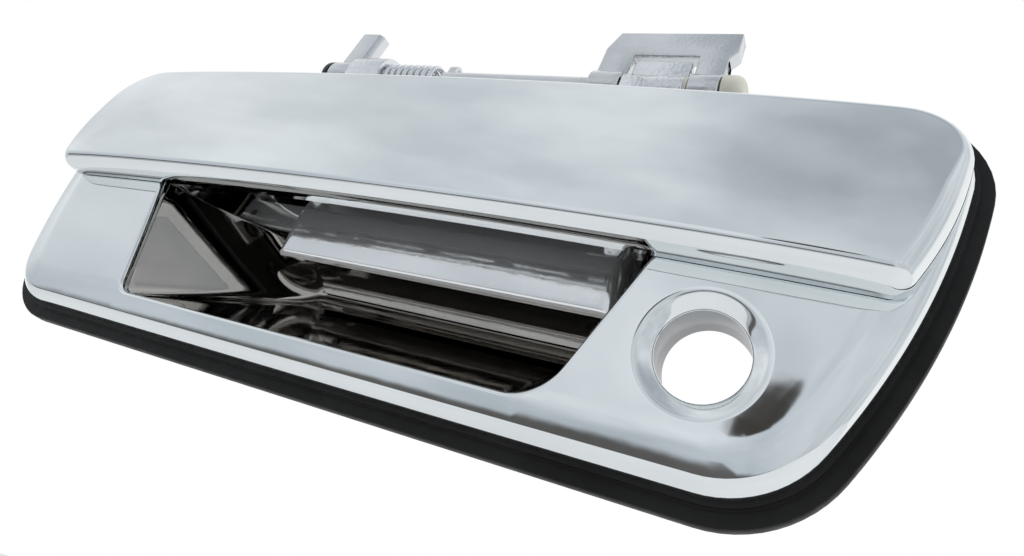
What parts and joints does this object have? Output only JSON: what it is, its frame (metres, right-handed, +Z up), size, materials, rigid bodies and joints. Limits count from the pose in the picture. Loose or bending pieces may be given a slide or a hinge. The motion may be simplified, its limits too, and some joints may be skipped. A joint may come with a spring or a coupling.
{
  "type": "tailgate handle",
  "caption": "Chromed pickup tailgate pull handle: a sprung paddle over a finger recess, a round keyhole, and hinge levers that stand up behind it.",
  "frame": {"origin": "the centre of the four mounting studs, on the plane of the tailgate's outer skin, where the gasket's back face lies", "axes": "+X along the handle towards the keyhole, +Y into the tailgate along the studs, +Z up towards the hinge"},
  "size_m": [0.2886, 0.0431, 0.1395],
  "materials": {
    "chrome_bezel": "bright decorative chrome on a moulded shell",
    "chrome_paddle": "bright decorative chrome on a moulded shell",
    "chrome_cup": "bright chrome, seen dark inside the recess",
    "plated_bar": "bright plating, rough at the ends",
    "black_rubber": "moulded black rubber",
    "plated_casting": "plated die casting with an orange-peel surface",
    "satin_casting": "satin grey die casting",
    "satin_tube": "satin zinc plate",
    "zinc_steel": "zinc-plated steel",
    "bright_pin": "ground steel",
    "spring_wire": "silvery plated spring wire",
    "black_plate": "black painted pressed steel",
    "black_screw": "black oxide steel",
    "black_clip": "black oxide spring steel",
    "nylon": "natural cream nylon"
  },
  "bodies": {
    "housing": {"bezel": "chrome_bezel", "finger_cup": "chrome_cup", "gasket": "black_rubber", "hinge_bracket": "plated_casting", "bush_left": "nylon", "bush_right": "nylon", "mounting_studs": "zinc_steel", "bracket_screws": "zinc_steel", "cup_screws": "zinc_steel", "bump_stops": "black_rubber", "return_spring": "spring_wire"},
    "paddle": {"paddle_cover": "chrome_paddle", "paddle_plate": "black_plate", "lever_left": "satin_casting", "lever_right": "satin_casting", "grip_bar": "plated_bar", "hinge_pin": "bright_pin", "torque_tube": "satin_tube", "pin_clip": "black_clip", "pin_cap": "nylon", "paddle_screws": "black_screw", "lever_screws": "black_screw", "bar_screws": "zinc_steel"}
  },
  "joints": [
    {"name": "paddle_hinge", "type": "hinge", "parent": "housing", "child": "paddle", "pos_m": [0, 0.0105, 0.0675], "axis": [-1, 0, 0], "range_deg": [0, 24], "stiffness_Nm_per_rad": 0.6, "springref_deg": -28.65, "deforming": ["return_spring"]}
  ]
}
